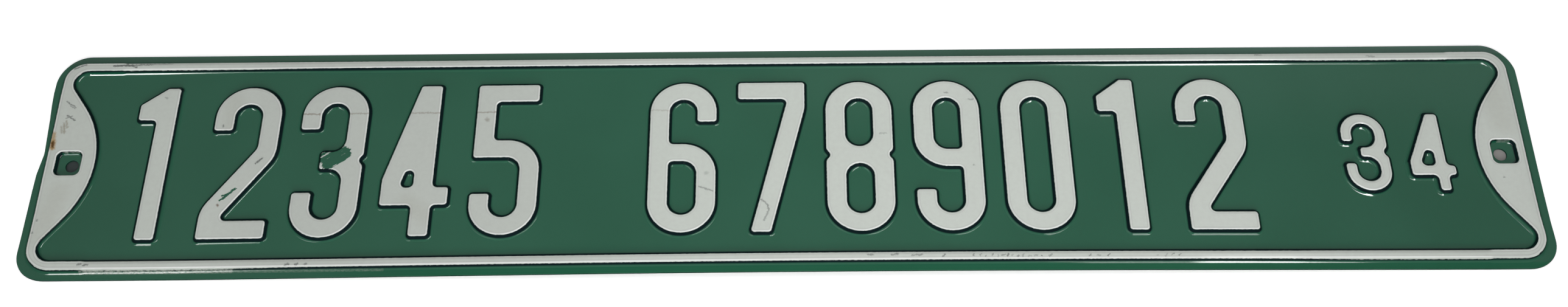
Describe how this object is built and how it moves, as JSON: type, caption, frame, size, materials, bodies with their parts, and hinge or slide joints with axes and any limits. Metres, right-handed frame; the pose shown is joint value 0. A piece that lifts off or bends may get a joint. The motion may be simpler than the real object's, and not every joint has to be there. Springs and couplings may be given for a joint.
{
  "type": "street name sign",
  "caption": "Long street name sign pressed from enamelled sheet steel: raised border, raised end panels with sunk screw seats, and raised plain numerals where the lettering goes.",
  "frame": {"origin": "the middle of the sheet's back, on the plane that the sign lies on", "axes": "+X along the reading direction, +Y towards the sign's top edge, +Z out of its face"},
  "size_m": [0.9144, 0.1524, 0.0037],
  "materials": {
    "green_enamel": "glossy enamel, with an off-white coat rolled over the raised faces"
  },
  "bodies": {
    "root": {"sign_panel": "green_enamel"}
  },
  "joints": []
}
